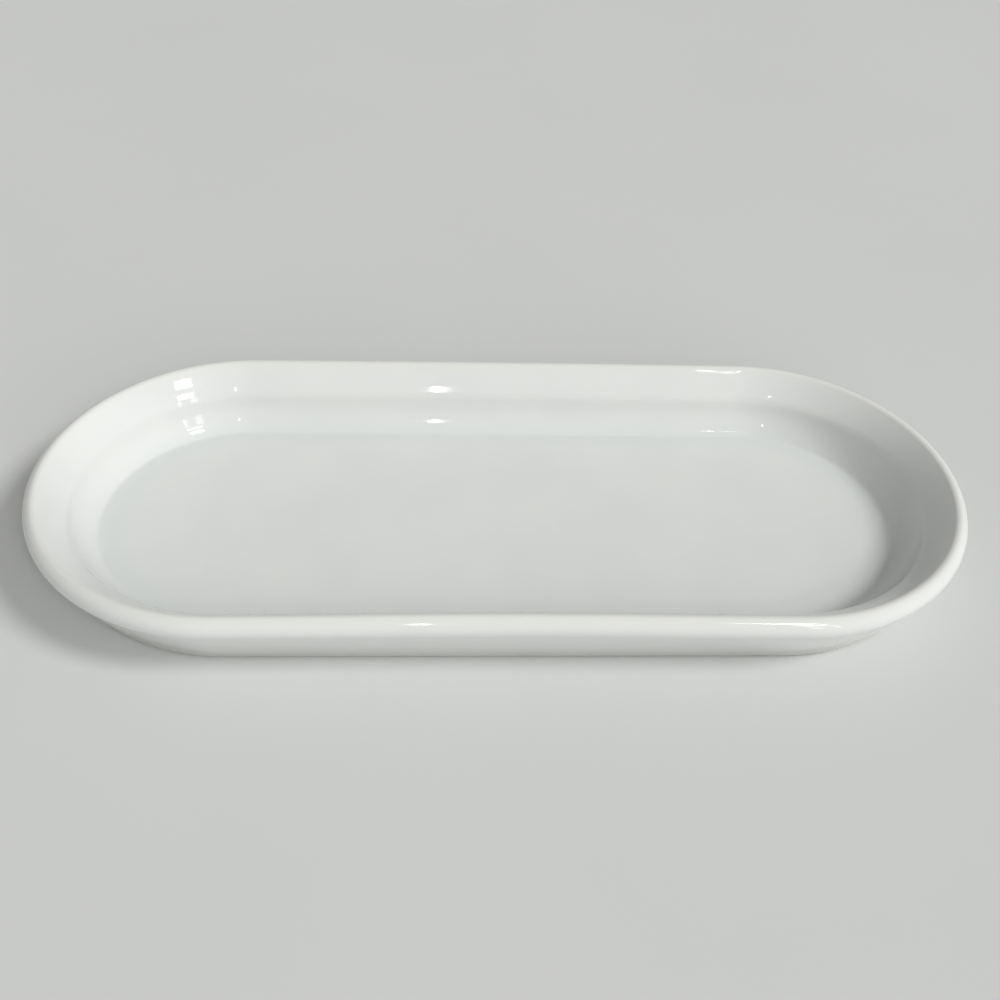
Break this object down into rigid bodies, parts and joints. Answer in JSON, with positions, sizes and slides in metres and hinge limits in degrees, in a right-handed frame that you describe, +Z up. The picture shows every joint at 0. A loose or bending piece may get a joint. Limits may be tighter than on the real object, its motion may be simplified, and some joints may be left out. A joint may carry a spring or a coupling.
{
  "type": "bread tray",
  "caption": "Oblong glazed stoneware bread tray with rounded ends, a rolled rim, a low flared wall with a soft inner shoulder, a flat serving floor and a bare foot ring.",
  "frame": {"origin": "on the table under the middle of the tray, in the plane of the foot ring", "axes": "+X along the tray's length, +Y across its width, +Z up out of the tray"},
  "size_m": [0.306, 0.124, 0.026],
  "materials": {
    "white_glaze": "gloss",
    "bare_clay": "matte"
  },
  "bodies": {
    "root": {"clay_body": "bare_clay", "glaze_coat": "white_glaze", "underside_glaze": "white_glaze"}
  },
  "joints": []
}
